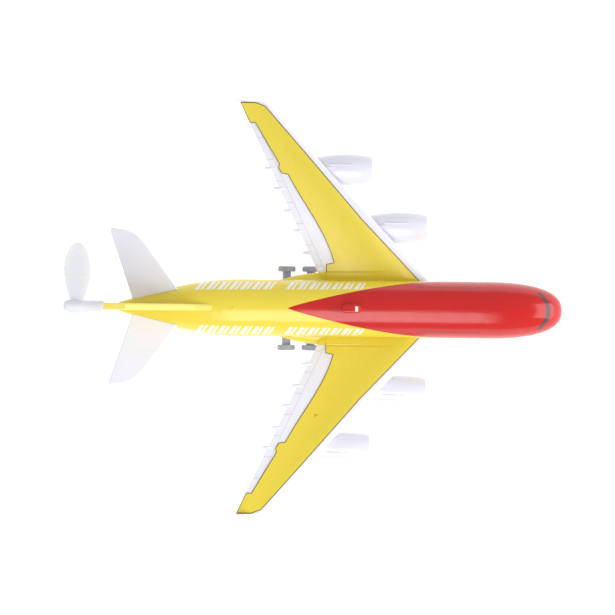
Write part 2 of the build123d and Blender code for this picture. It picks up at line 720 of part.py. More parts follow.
# ---- propeller and drive ------------------------------------------------------------------------------------------
def blade_section(radius, width, pitch_deg):
    """One section of the port blade at a radius: a thin lens with blunt edges. Its width is what shows from above."""
    half_chord = width / sin(radians(pitch_deg)) / 2
    edge = 0.3
    belly = PROP_BLADE_THICKNESS * (1.35 - 0.5 * radius / (PROP_DIAMETER / 2)) / 2
    along_chord = (sin(radians(pitch_deg)), 0, cos(radians(pitch_deg)))
    plane = Plane(origin=(PROP_BLADE_X, radius, TAIL_AXIS_Z), x_dir=along_chord, z_dir=(0, 1, 0))
    top = ThreePointArc((-half_chord, edge), (0, belly), (half_chord, edge))
    front = Line((half_chord, edge), (half_chord, -edge))
    bottom = ThreePointArc((half_chord, -edge), (0, -belly), (-half_chord, -edge))
    back = Line((-half_chord, -edge), (-half_chord, edge))
    return plane * Wire([top.edge(), front.edge(), bottom.edge(), back.edge()])


def propeller_blade():
    """The port blade, lofted through its sections out to a round tip."""
    tip = PROP_DIAMETER / 2
    shares = (0.05, 0.15, 0.32, 0.50, 0.66, 0.80, 0.90, 0.965, 0.995)
    wires = []
    for share in shares:
        width = blade_width(share)
        wires.append(blade_section(share * tip, width, 64.0 - 16.0 * share))
    return Solid.make_loft(wires)


def blade_width(share):
    """Width of the blade seen from above, at a share of its length."""
    widest = 22.4
    root = 9.6
    swell = sin(radians(90.0 * min(share / 0.56, 1.0))) ** 1.5
    width = root + (widest - root) * swell
    if share > 0.56:
        width = widest * cos(radians(90.0 * ((share - 0.56) / 0.44) ** 1.15)) ** 0.5
    return width


def build_propeller():
    """Two blades on a long sleeve hub with a rounded aft end."""
    axis = (PROP_HUB_FRONT_X, 0, TAIL_AXIS_Z)
    end_x = PROP_HUB_FRONT_X - PROP_HUB_LENGTH
    hub = rod(PROP_HUB_RADIUS, axis, (end_x, 0, TAIL_AXIS_Z))
    hub = fillet(hub.faces().sort_by(Axis.X)[0].edges(), 3.6)
    blade = propeller_blade()
    middle = Axis((0, 0, TAIL_AXIS_Z), (1, 0, 0))
    both = hub + blade + blade.rotate(middle, 180)
    bore_end = (end_x + 6.0, 0, TAIL_AXIS_Z)
    sleeve = rod(PROP_HUB_RADIUS - 1.3, axis, (PROP_HUB_FRONT_X - 9.0, 0, TAIL_AXIS_Z))
    return both - rod(SHAFT_RADIUS + PRESS_GAP, axis, bore_end) - sleeve


def build_drive_shaft():
    aft = PROP_HUB_FRONT_X - PROP_HUB_LENGTH + 6.5
    return rod(SHAFT_RADIUS, (aft, 0, TAIL_AXIS_Z), (MOTOR_REAR_X - 11.5, 0, TAIL_AXIS_Z))


def build_tail_bush():
    start = (TAIL_X - BUSH_TAIL, 0, TAIL_AXIS_Z)
    end = (TAIL_X + 12.0, 0, TAIL_AXIS_Z)
    return rod(BUSH_RADIUS, start, end) - rod(SHAFT_RADIUS + RUN_GAP, start, end)


def build_thrust_washer():
    start = (TAIL_X - BUSH_TAIL - 1.0, 0, TAIL_AXIS_Z)
    end = (TAIL_X - BUSH_TAIL - 0.3, 0, TAIL_AXIS_Z)
    return rod(2.1, start, end) - rod(SHAFT_RADIUS + PRESS_GAP, start, end)


def build_shaft_coupling():
    """The sleeve that joins the motor's shaft to the drive shaft."""
    start = (MOTOR_REAR_X - 20.0, 0, TAIL_AXIS_Z)
    end = (MOTOR_REAR_X - 4.0, 0, TAIL_AXIS_Z)
    return rod(2.6, start, end) - rod(SHAFT_RADIUS + PRESS_GAP, start, end)


def motor_profile(shrink, start_x, length):
    """A length of the motor's two-flatted round section."""
    radius = MOTOR_RADIUS - shrink
    flat = MOTOR_FLAT - shrink
    round_bar = rod(radius, (start_x, 0, TAIL_AXIS_Z), (start_x + length, 0, TAIL_AXIS_Z))
    slab = box(start_x, start_x + length, -BIG / 4, BIG / 4, TAIL_AXIS_Z - flat, TAIL_AXIS_Z + flat)
    return round_bar & slab


def build_motor_can():
    body_length = MOTOR_LENGTH - 3.0
    can = motor_profile(0.0, MOTOR_REAR_X, body_length)
    can = can - motor_profile(MOTOR_CAN_WALL, MOTOR_REAR_X + MOTOR_CAN_WALL, body_length)
    boss = rod(3.0, (MOTOR_REAR_X - 1.5, 0, TAIL_AXIS_Z), (MOTOR_REAR_X + 1.0, 0, TAIL_AXIS_Z))
    bore = rod(SHAFT_RADIUS + RUN_GAP, (MOTOR_REAR_X - 2, 0, TAIL_AXIS_Z), (MOTOR_REAR_X + 2, 0, TAIL_AXIS_Z))
    return can + boss - bore


def build_motor_end_cap():
    start = MOTOR_REAR_X + MOTOR_LENGTH - 3.0
    cap = motor_profile(0.0, start + JOINT_GAP, 3.0 - JOINT_GAP)
    plug = motor_profile(MOTOR_CAN_WALL + JOINT_GAP, start - 2.0, 2.2)
    pocket = rod(SHAFT_RADIUS + RUN_GAP, (start - 3.0, 0, TAIL_AXIS_Z), (start + 2.0, 0, TAIL_AXIS_Z))
    return cap + plug - pocket


def build_motor_terminals():
    """Two tin tags that stand out of the end cap."""
    front = MOTOR_REAR_X + MOTOR_LENGTH
    tag = box(front + JOINT_GAP, front + 3.2, 3.6, 6.0, TAIL_AXIS_Z - 0.25, TAIL_AXIS_Z + 0.25)
    return solids_of(Compound(children=list(port_and_starboard(tag).values())))


def build_motor_magnets():
    """Two arc magnets against the round sides of the can."""
    start = MOTOR_REAR_X + 3.5
    length = 14.0
    outer = motor_profile(MOTOR_CAN_WALL + JOINT_GAP, start, length)
    outer = outer - rod(6.9, (start - 1, 0, TAIL_AXIS_Z), (start + length + 1, 0, TAIL_AXIS_Z))
    halves = [outer & box(-BIG, BIG, side * 4.8, side * BIG, -BIG, BIG) for side in (-1, 1)]
    return Compound(children=[half.solids()[0] for half in halves])


def build_motor_rotor():
    """The armature: shaft, three-pole core and commutator."""
    front = MOTOR_REAR_X + MOTOR_LENGTH - 1.4
    rotor = rod(SHAFT_RADIUS, (MOTOR_REAR_X - 10.5, 0, TAIL_AXIS_Z), (front, 0, TAIL_AXIS_Z))
    core_start = MOTOR_REAR_X + 4.5
    core = rod(3.0, (core_start, 0, TAIL_AXIS_Z), (core_start + 12.0, 0, TAIL_AXIS_Z))
    for pole in range(3):
        arm = box(core_start, core_start + 12.0, -1.3, 1.3, TAIL_AXIS_Z, TAIL_AXIS_Z + 6.0)
        shoe_space = rod(6.4, (core_start, 0, TAIL_AXIS_Z), (core_start + 12.0, 0, TAIL_AXIS_Z))
        shoe_space = shoe_space - rod(5.2, (core_start, 0, TAIL_AXIS_Z), (core_start + 12.0, 0, TAIL_AXIS_Z))
        shoe = shoe_space & box(core_start, core_start + 12.0, -4.0, 4.0, TAIL_AXIS_Z + 2.0, TAIL_AXIS_Z + 8.0)
        core = core + (arm + shoe).rotate(Axis((0, 0, TAIL_AXIS_Z), (1, 0, 0)), 120.0 * pole)
    commutator = rod(2.2, (core_start + 12.5, 0, TAIL_AXIS_Z), (core_start + 15.0, 0, TAIL_AXIS_Z))
    return rotor + core + commutator


def build_motor_cradle():
    """A saddle under the motor, standing on the lower shell."""
    block = box(CRADLE_X[0], CRADLE_X[1], -STRAP_HALF_WIDTH, STRAP_HALF_WIDTH, 22.0, TAIL_AXIS_Z - 2.0)
    inside = block & fuselage_solid(-WALL - JOINT_GAP)
    seat = motor_profile(-JOINT_GAP, CRADLE_X[0] - 1.0, 20.0)
    relief = box(CRADLE_X[0] + 1.6, CRADLE_X[1] - 1.6, -8.0, 8.0, 20.0, TAIL_AXIS_Z - MOTOR_FLAT - 2.0)
    cradle = inside - seat - relief
    for side in (-1, 1):
        hole = strap_screw(side, PRESS_GAP)
        cradle = cradle - hole
    return cradle


def strap_screw(side, grow):
    """A small screw that holds the strap; side is -1 or 1."""
    x = sum(CRADLE_X) / 2
    y = side * STRAP_SCREW_Y
    top = TAIL_AXIS_Z - 2.0
    return rod(0.8 + grow, (x, y, top - 6.0), (x, y, top + 1.2))


def build_motor_strap():
    """The strap over the motor: two feet and a thin bridge."""
    x0 = CRADLE_X[0] + 3.0
    x1 = CRADLE_X[1] - 3.0
    outer = motor_profile(-1.0, x0, x1 - x0)
    bridge = outer - motor_profile(-JOINT_GAP, x0 - 1, x1 - x0 + 2)
    bridge = bridge & box(-BIG, BIG, -BIG, BIG, TAIL_AXIS_Z - 1.9, BIG)
    feet = [
        box(x0, x1, side * (MOTOR_RADIUS + 0.35), side * STRAP_HALF_WIDTH, TAIL_AXIS_Z - 1.95, TAIL_AXIS_Z - 0.9)
        for side in (-1, 1)
    ]
    strap = bridge + feet
    for side in (-1, 1):
        strap = strap - strap_screw(side, FIT_GAP)
    return strap - motor_profile(-JOINT_GAP, x0 - 1, x1 - x0 + 2)


def build_strap_screws():
    screws = []
    for side in (-1, 1):
        shank = strap_screw(side, 0.0)
        x = sum(CRADLE_X) / 2
        foot = TAIL_AXIS_Z - 0.9 + JOINT_GAP
        head = rod(1.4, (x, side * STRAP_SCREW_Y, foot), (x, side * STRAP_SCREW_Y, foot + 1.0))
        screws.append((shank + head).solids()[0])
    return Compound(children=screws)


# ---- battery compartment ------------------------------------------------------------------------------------------
def tray_front_x():
    return TRAY_REAR_X + CELL_LENGTH + CONTACT_ROOM


def door_screw_x():
    return tray_front_x() + TRAY_WALL + 5.0


def build_battery_tray(hollow):
    """A bin, open downwards, that holds the two cells; its front post takes the door screw."""
    half = CELL_SPACING / 2 + CELL_RADIUS + 0.35
    roof = CELL_Z + CELL_RADIUS + 0.3
    outer = box(TRAY_REAR_X - TRAY_WALL, tray_front_x() + TRAY_WALL, -half - TRAY_WALL, half + TRAY_WALL,
                11.8, roof + TRAY_WALL)
    inner = box(TRAY_REAR_X, tray_front_x(), -half, half, 0.0, roof)
    post = rod(3.0, (door_screw_x(), 0, 11.6), (door_screw_x(), 0, roof + TRAY_WALL))
    web = box(tray_front_x(), door_screw_x(), -0.8, 0.8, 14.0, roof + TRAY_WALL)
    tray = ((outer - inner) & hollow) + (post & hollow) + web
    hole = rod(SCREW_RADIUS + PRESS_GAP, (door_screw_x(), 0, 0), (door_screw_x(), 0, 22.0))
    return max((tray - hole).solids(), key=lambda piece: piece.volume)


def cell_start(index):
    """x of the cell's flat end; the two cells face opposite ways."""
    return TRAY_REAR_X + (CONTACT_ROOM - 1.0 if index == 0 else 1.0)


def build_cell(index):
    """An AA cell with its button: cell 0 points forward, cell 1 points aft."""
    y = CELL_SPACING / 2 if index == 0 else -CELL_SPACING / 2
    can = Cylinder(CELL_RADIUS, CELL_LENGTH - 1.4, align=(Align.CENTER, Align.CENTER, Align.MIN))
    can = fillet(can.edges().filter_by(GeomType.CIRCLE), 0.6)
    button = Pos(0, 0, CELL_LENGTH - 1.6) * Cylinder(2.7, 1.6, align=(Align.CENTER, Align.CENTER, Align.MIN))
    cell = can + button
    if index == 0:
        return Pos(cell_start(0), y, CELL_Z) * Rot(0, 90, 0) * cell
    return Pos(cell_start(1) + CELL_LENGTH, y, CELL_Z) * Rot(0, -90, 0) * cell


def build_contact_springs():
    """One conical coil spring at each cell's flat end."""
    springs = []
    for index in (0, 1):
        y = CELL_SPACING / 2 if index == 0 else -CELL_SPACING / 2
        coil = Helix(pitch=1.15, height=3.1, radius=3.2)
        wire_radius = 0.28
        start = coil @ 0
        section = Plane(origin=start, z_dir=coil % 0) * Circle(wire_radius)
        spring = sweep(section, path=coil)
        if index == 0:
            place = Pos(TRAY_REAR_X + 0.8, y, CELL_Z) * Rot(0, 90, 0)
        else:
            place = Pos(tray_front_x() - 0.8, y, CELL_Z) * Rot(0, -90, 0)
        springs.append((place * spring).solids()[0])
    return Compound(children=springs)


def build_contact_plates():
    """Flat contacts on the tray's end walls: one bridge in front, two tabs aft."""
    thick = 0.3
    z0 = CELL_Z - 5.0
    z1 = CELL_Z + 5.0
    front = tray_front_x() - JOINT_GAP
    rear = TRAY_REAR_X + JOINT_GAP
    bridge = box(front - thick, front, -CELL_SPACING / 2 - 4.5, CELL_SPACING / 2 + 4.5, z0, z1)
    tabs = [box(rear, rear + thick, side * 3.0, side * 12.0, z0, z1) for side in (-1, 1)]
    return Compound(children=[piece.solids()[0] for piece in [bridge, *tabs]])


def build_door_screw():
    x = door_screw_x()
    head_foot = DOOR_SEAT_Z - JOINT_GAP
    head = rod(SCREW_HEAD_RADIUS, (x, 0, head_foot - 0.9), (x, 0, head_foot))
    shank = rod(SCREW_RADIUS, (x, 0, head_foot - 0.2), (x, 0, 21.0))
    slot_a = box(x - 1.5, x + 1.5, -0.3, 0.3, 0, head_foot - 0.5)
    slot_b = box(x - 0.3, x + 0.3, -1.5, 1.5, 0, head_foot - 0.5)
    return head + shank - slot_a - slot_b


def build_shell_screws():
    """Three screws from under the belly into the upper shell's posts."""
    screws = []
    for x in SHELL_SCREW_X:
        seat = seam_z(x) - SEAM_Z + SCREW_SEAT_Z - JOINT_GAP
        head = rod(SCREW_HEAD_RADIUS, (x, 0, seat - SCREW_HEAD_HEIGHT), (x, 0, seat))
        shank = rod(SCREW_RADIUS, (x, 0, seat - 0.5), (x, 0, seat + SHELL_SCREW_LENGTH))
        slot_a = box(x - 1.5, x + 1.5, -0.3, 0.3, 0, seat - SCREW_HEAD_HEIGHT + 0.8)
        slot_b = box(x - 0.3, x + 0.3, -1.5, 1.5, 0, seat - SCREW_HEAD_HEIGHT + 0.8)
        screws.append((head + shank - slot_a - slot_b).solids()[0])
    return Compound(children=screws)


# ---- power switch -------------------------------------------------------------------------------------------------
def build_switch_body():
    """The switch's box on its ear plate, above the slot in the belly."""
    plate = box(SWITCH_X - 9.0, SWITCH_X + 9.0, -3.4, 3.4, SWITCH_FLOOR_Z, SWITCH_FLOOR_Z + 0.6)
    case = box(SWITCH_X - 6.6, SWITCH_X + 6.6, -3.4, 3.4, SWITCH_FLOOR_Z + 0.6, SWITCH_FLOOR_Z + 5.6)
    room = box(SWITCH_X - 5.7, SWITCH_X + 5.7, -2.3, 2.3, SWITCH_FLOOR_Z - 1.0, SWITCH_FLOOR_Z + 3.6)
    pins = [rod(0.45, (SWITCH_X + step, 0, SWITCH_FLOOR_Z + 5.0), (SWITCH_X + step, 0, SWITCH_FLOOR_Z + 8.2))
            for step in (-3.5, 0.0, 3.5)]
    return plate + case - room + pins


def build_switch_knob():
    """The sliding knob at its off position, at the aft end of the slot."""
    x = SWITCH_X - SWITCH_TRAVEL / 2
    carriage = box(x - 3.0, x + 3.0, -2.0, 2.0, SWITCH_FLOOR_Z + 0.3, SWITCH_FLOOR_Z + 3.2)
    thumb = box(x - 1.8, x + 1.8, -1.5, 1.5, BODY_BOTTOM_Z - 1.6, SWITCH_FLOOR_Z + 0.4)
    thumb = chamfer(thumb.faces().sort_by(Axis.Z)[0].edges().filter_by(Axis.Y), 0.5)
    return carriage + thumb


# ---- leads --------------------------------------------------------------------------------------------------------
def lead(points, bend):
    """A thin insulated wire along a path of straight runs and arcs."""
    path = FilletPolyline(*points, radius=bend)
    section = Plane(origin=points[0], z_dir=Vector(*points[1]) - Vector(*points[0])) * Circle(0.55)
    return sweep(section, path=path)


def build_leads():
    """Motor to tray, and motor to switch over the tray."""
    motor_x = MOTOR_REAR_X + MOTOR_LENGTH + 3.4
    roof = CELL_Z + CELL_RADIUS + 0.3 + TRAY_WALL + 0.8
    switch_top = SWITCH_FLOOR_Z + 8.8
    black = lead([(motor_x, 4.8, TAIL_AXIS_Z), (-50.0, 5.0, 45.0), (-12.0, 7.0, 36.0), (10.0, 8.0, 29.4)], 12.0)
    red = lead(
        [(motor_x, -4.8, TAIL_AXIS_Z), (-50.0, -6.0, 44.0), (-4.0, -8.0, roof + 4.0), (76.0, -8.0, roof + 3.0),
         (SWITCH_X - 3.5, -0.8, switch_top + 0.6)],
        10.0,
    )
    return {"motor_lead_black": black, "motor_lead_red": red}


# ---- landing gear -------------------------------------------------------------------------------------------------
def build_main_wheel(x):
    """A port wheel: a disc with a dished face and a boss towards the fuselage."""
    inner_y = MAIN_WHEEL_OUTER_Y - MAIN_WHEEL_WIDTH
    disc = rod(MAIN_WHEEL_RADIUS, (x, inner_y, MAIN_WHEEL_RADIUS), (x, MAIN_WHEEL_OUTER_Y, MAIN_WHEEL_RADIUS))
    disc = fillet(disc.edges().filter_by(GeomType.CIRCLE), 0.7)
    dish = rod(4.3, (x, MAIN_WHEEL_OUTER_Y - 0.9, MAIN_WHEEL_RADIUS), (x, MAIN_WHEEL_OUTER_Y + 1, MAIN_WHEEL_RADIUS))
    cap = rod(2.0, (x, inner_y + 1.0, MAIN_WHEEL_RADIUS), (x, MAIN_WHEEL_OUTER_Y - 0.2, MAIN_WHEEL_RADIUS))
    boss = rod(WHEEL_BOSS_RADIUS, (x, WHEEL_BOSS_INNER_Y, MAIN_WHEEL_RADIUS), (x, inner_y + 0.5, MAIN_WHEEL_RADIUS))
    bore_end = MAIN_WHEEL_OUTER_Y - 1.2
    bore = rod(AXLE_RADIUS + PRESS_GAP, (x, WHEEL_BOSS_INNER_Y - 1, MAIN_WHEEL_RADIUS),
               (x, bore_end, MAIN_WHEEL_RADIUS))
    return disc - dish + cap + boss - bore


def build_main_axle(x):
    end = MAIN_WHEEL_OUTER_Y - 1.4
    return rod(AXLE_RADIUS, (x, -end, MAIN_WHEEL_RADIUS), (x, end, MAIN_WHEEL_RADIUS))


def nose_leg_stem(grow):
    """The leg's round stem, from just above the nose wheels up into its socket."""
    foot = (NOSE_GEAR_X, 0, NOSE_LEG_FOOT_Z)
    return rod(NOSE_STEM_RADIUS + grow, foot, (NOSE_GEAR_X, 0, NOSE_LEG_FOOT_Z + NOSE_STEM_LENGTH + grow))


def nose_leg_socket():
    top = NOSE_LEG_FOOT_Z + NOSE_STEM_LENGTH + WALL
    return rod(NOSE_STEM_RADIUS + FIT_GAP + WALL, (NOSE_GEAR_X, 0, 0), (NOSE_GEAR_X, 0, top))


def build_nose_leg():
    """A stem in the belly socket with a blade that carries the axle."""
    stem = nose_leg_stem(0.0)
    collar = rod(NOSE_STEM_RADIUS + 1.0, (NOSE_GEAR_X, 0, NOSE_LEG_FOOT_Z), (NOSE_GEAR_X, 0, BODY_BOTTOM_Z + 0.1))
    half = NOSE_LEG_WIDTH / 2
    blade = box(NOSE_GEAR_X - 2.6, NOSE_GEAR_X + 2.6, -half, half, NOSE_WHEEL_RADIUS, NOSE_LEG_FOOT_Z + 0.2)
    foot = rod(2.6, (NOSE_GEAR_X, -half, NOSE_WHEEL_RADIUS), (NOSE_GEAR_X, half, NOSE_WHEEL_RADIUS))
    bore = rod(AXLE_RADIUS + RUN_GAP, (NOSE_GEAR_X, -half - 1, NOSE_WHEEL_RADIUS),
               (NOSE_GEAR_X, half + 1, NOSE_WHEEL_RADIUS))
    return stem + collar + blade + foot - bore


def nose_wheel_inner_y():
    return NOSE_LEG_WIDTH / 2 + 0.4


def build_nose_axle():
    end = nose_wheel_inner_y() + NOSE_WHEEL_WIDTH - 0.8
    return rod(AXLE_RADIUS, (NOSE_GEAR_X, -end, NOSE_WHEEL_RADIUS), (NOSE_GEAR_X, end, NOSE_WHEEL_RADIUS))


def build_nose_wheel():
    """The port nose wheel."""
    inner_y = nose_wheel_inner_y()
    outer_y = inner_y + NOSE_WHEEL_WIDTH
    disc = rod(NOSE_WHEEL_RADIUS, (NOSE_GEAR_X, inner_y, NOSE_WHEEL_RADIUS), (NOSE_GEAR_X, outer_y, NOSE_WHEEL_RADIUS))
    disc = fillet(disc.edges().filter_by(GeomType.CIRCLE), 0.6)
    bore = rod(AXLE_RADIUS + PRESS_GAP, (NOSE_GEAR_X, inner_y - 1, NOSE_WHEEL_RADIUS),
               (NOSE_GEAR_X, outer_y - 0.6, NOSE_WHEEL_RADIUS))
    return disc - bore


# ---- all pieces ---------------------------------------------------------------------------------------------------
def build_pieces():
    """Every piece, by node name."""
    pieces = {}
    outer = fuselage_solid(0.0)
    skin = fuselage_solid(JOINT_GAP)
    inner = cavity()
    fairing = fairing_solid(0.0)
    fairing_skin = fairing_solid(JOINT_GAP)
    fairing_inner = fairing_solid(-WALL)
    mid_wall = fuselage_solid(-WALL / 2) + fairing_solid(-WALL / 2)
    pieces["upper_shell"] = build_upper_shell(outer, inner, mid_wall)
    pieces["lower_shell"] = build_lower_shell(outer, inner, fairing, fairing_inner, mid_wall)
    pieces["battery_door"] = build_battery_door(outer, inner, fairing, fairing_inner)
    pieces["tail_fin"] = build_fin(skin)
    pieces["string_eye"] = build_string_eye(skin)
    wing = build_wing(skin, fairing_skin)
    panel = build_top_panel(skin, fairing_skin)
    tailplane = build_tailplane(skin)
    for side, piece in port_and_starboard(wing).items():
        pieces[f"{side}_wing"] = piece
    for side, piece in port_and_starboard(panel).items():
        pieces[f"{side}_wing_top_panel"] = with_gate_pip(piece) if side == "starboard" else piece
    for side, piece in port_and_starboard(tailplane).items():
        pieces[f"{side}_tailplane"] = piece
    for place, y, intake_x in ENGINES:
        nacelle = build_nacelle(y, intake_x)
        fan = build_fan(y, intake_x)
        for side, piece in port_and_starboard(nacelle).items():
            pieces[f"{side}_{place}_nacelle"] = piece
        for side, piece in port_and_starboard(fan).items():
            pieces[f"{side}_{place}_fan"] = piece
    pieces["propeller"] = build_propeller()
    pieces["drive_shaft"] = build_drive_shaft()
    pieces["tail_bush"] = build_tail_bush()
    pieces["thrust_washer"] = build_thrust_washer()
    pieces["shaft_coupling"] = build_shaft_coupling()
    pieces["motor_can"] = build_motor_can()
    pieces["motor_end_cap"] = build_motor_end_cap()
    pieces["motor_terminals"] = build_motor_terminals()
    pieces["motor_magnets"] = build_motor_magnets()
    pieces["motor_rotor"] = build_motor_rotor()
    pieces["motor_cradle"] = build_motor_cradle()
    pieces["motor_strap"] = build_motor_strap()
    pieces["strap_screws"] = build_strap_screws()
    hollow = fuselage_solid(-WALL - JOINT_GAP) + fairing_solid(-WALL - JOINT_GAP)
    pieces["battery_tray"] = build_battery_tray(hollow)
    pieces["port_cell"] = build_cell(0)
    pieces["starboard_cell"] = build_cell(1)
    pieces["contact_springs"] = build_contact_springs()
    pieces["contact_plates"] = build_contact_plates()
    pieces["battery_door_screw"] = build_door_screw()
    pieces["shell_screws"] = build_shell_screws()
    pieces["switch_body"] = build_switch_body()
    pieces["switch_knob"] = build_switch_knob()
    pieces.update(build_leads())
    for place, x in MAIN_AXLES:
        pieces[f"{place}_main_axle"] = build_main_axle(x)
        for side, piece in port_and_starboard(build_main_wheel(x)).items():
            pieces[f"{side}_{place}_wheel"] = piece
    pieces["nose_leg"] = build_nose_leg()
    pieces["nose_axle"] = build_nose_axle()
    for side, piece in port_and_starboard(build_nose_wheel()).items():
        pieces[f"{side}_nose_wheel"] = piece
    return pieces


def main():
    os.makedirs("parts", exist_ok=True)
    for name, piece in build_pieces().items():
        export_step(solids_of(piece), f"parts/{name}.step")


main()
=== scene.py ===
"""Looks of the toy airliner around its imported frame: paint, plastics, metals, camera and studio light.

Lengths in material graphs are millimetres of the row frame; everything else is in metres.
"""

import json
import math

import bmesh
import bpy
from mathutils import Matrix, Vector


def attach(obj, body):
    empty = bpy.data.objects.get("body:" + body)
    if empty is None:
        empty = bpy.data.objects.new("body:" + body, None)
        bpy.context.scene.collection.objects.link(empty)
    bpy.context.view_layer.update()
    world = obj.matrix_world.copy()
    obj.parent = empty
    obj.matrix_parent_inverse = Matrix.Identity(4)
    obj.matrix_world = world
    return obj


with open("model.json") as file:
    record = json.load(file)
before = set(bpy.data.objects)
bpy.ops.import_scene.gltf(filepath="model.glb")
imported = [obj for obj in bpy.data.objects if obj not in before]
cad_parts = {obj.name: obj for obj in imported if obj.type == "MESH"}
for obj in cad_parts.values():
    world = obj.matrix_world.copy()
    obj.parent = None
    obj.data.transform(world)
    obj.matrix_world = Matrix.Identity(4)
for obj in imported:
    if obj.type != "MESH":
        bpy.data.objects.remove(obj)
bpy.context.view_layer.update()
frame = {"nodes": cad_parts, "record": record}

# ---- colours (linear) ----------------------------------------------------------------------------
RED = (0.58, 0.010, 0.007, 1.0)
YELLOW = (0.86, 0.68, 0.058, 1.0)
PANEL_YELLOW = (0.83, 0.66, 0.052, 1.0)
# paler than YELLOW: painted highlight of the fin's bright crest
FIN_HIGHLIT_YELLOW = (0.90, 0.74, 0.14, 1.0)
WHITE = (0.84, 0.83, 0.90, 1.0)
MARK_WHITE = (0.90, 0.89, 0.88, 1.0)
WINDOW_GREY = (0.070, 0.030, 0.036, 1.0)
BAND_GREY = (0.060, 0.060, 0.068, 1.0)
# the string eye's painted highlight
GLINT_IVORY = (0.88, 0.82, 0.62, 1.0)
BROWN = (0.11, 0.048, 0.016, 1.0)
WHEEL_GREY = (0.41, 0.415, 0.47, 1.0)
FAN_GREY = (0.10, 0.105, 0.12, 1.0)
BLACK = (0.012, 0.012, 0.013, 1.0)
TAILPLANE_WHITE = (0.86, 0.85, 0.92, 1.0)
POD_WHITE = (0.815, 0.81, 0.875, 1.0)
PROPELLER_WHITE = (0.82, 0.82, 0.84, 1.0)
JACKET_DARK = (0.03, 0.035, 0.045, 1.0)
JACKET_BRIGHT = (0.50, 0.36, 0.10, 1.0)
FLOOR_GREY = (0.5, 0.5, 0.5, 1.0)
FLOOR_GLOW = (1.0, 1.0, 1.0, 1.0)
SKY = (0.93, 0.95, 1.0, 1.0)
EVEN_RADIUS = (1.0, 1.0, 1.0)  # light spreads in the plastic alike in every colour

# ---- paint scheme, millimetres -------------------------------------------------------------------
BODY_HALF_WIDTH = 21.8
BODY_HALF_HEIGHT = 25.5
BODY_AXIS_Z = 35.5
BELLY_LINE_Z = 18.0  # colour above, white below
RED_APEX_X = -19.4
RED_EDGE_DEG_PER_MM = 0.68  # how fast the red comes down the sides ahead of its apex
RED_BLUNT_DEG = 3.2
RED_BLUNT_LENGTH = 4.0
BAR_FIRST_X = -88.0
BAR_LAST_X = 39.0
BAR_PITCH = 8.5
BAR_GAP_CELL = 7  # the cell left empty, counted from the first bar
BAR_OUTER_Y = 19.8
BAR_INNER_Y = 13.4
BAR_LOWEST_Z = 42.0
BAR_SLANT = 0.75
BAR_HAND_SHIFT = 2.4  # the two sides' bars are moved apart along x by twice this
BAR_INNER_SPREAD = 0.013  # the inner ends move outboard toward the nose, per millimetre
WIDE_BAR = (0.06, 0.40)  # start and end as shares of a cell
THIN_BAR = (0.56, 0.76)
BAR_EDGE = 0.012
ROOT_STRIP_Y = 28.2  # inboard of here the aft part of the wing is yellow like the body
ROOT_STRIP_FRONT_X = 14.0
# where the ivory patch of painted highlight sits on the string eye's crown
EYE_GLINT_X = (31.0, 33.2)
EYE_GLINT_Y = (-1.9, 1.9)
EYE_GLINT_LOWEST_Z = 64.0
WINDOW_PITCH = 2.2
WINDOW_COUNT_FROM_X = -1000.0  # fixes where along the body the panes fall
WINDOW_PANE = (0.22, 0.74)  # start and end as shares of the pitch
WINDOW_EDGE = 0.05
WINDOW_INNER_Y = 10.0
UPPER_WINDOWS_Z = (50.9, 52.6)
UPPER_WINDOWS_X = (78.6, 126.4)
LOWER_WINDOWS_Z = (38.6, 40.8)
LOWER_WINDOWS_X = (-1.0, 71.0)
COCKPIT_BAND_X = 177.4  # at the middle of the body
COCKPIT_BAND_BOW = 0.0363  # per millimetre, times y squared
COCKPIT_BAND_HALF_WIDTH = 1.9
COCKPIT_BAND_HALF_SPAN = 14.2
COCKPIT_BAND_LOWEST_Z = 34.0
COCKPIT_POST_PITCH = 4.9
WING_ROOT_Y = 19.5
WING_SPAN_Y = 137.1  # from the root to the tip
WING_TRAILING_ROOT_X = 7.2
WING_TRAILING_SWEEP = 64.8  # how far aft of the root the trailing edge ends
WING_TOP_Z = 22.0  # what is above this is upper surface
HINGE_LINE = (5.6, 6.1)  # ahead of the trailing edge
FLAP_PITCH = 16.2
PANEL_CREASE_HALF_WIDTH = 0.9
PANEL_CREASE_X = (72.0, 40.0)  # where the crease begins and where it is at full depth
CELL_RINGS_X = ((20.0, 27.0), (62.0, 69.0))

MM_PER_M = 1000.0
PEEL_DEPTH = 0.0016
SCRATCH_DEPTH = 0.003


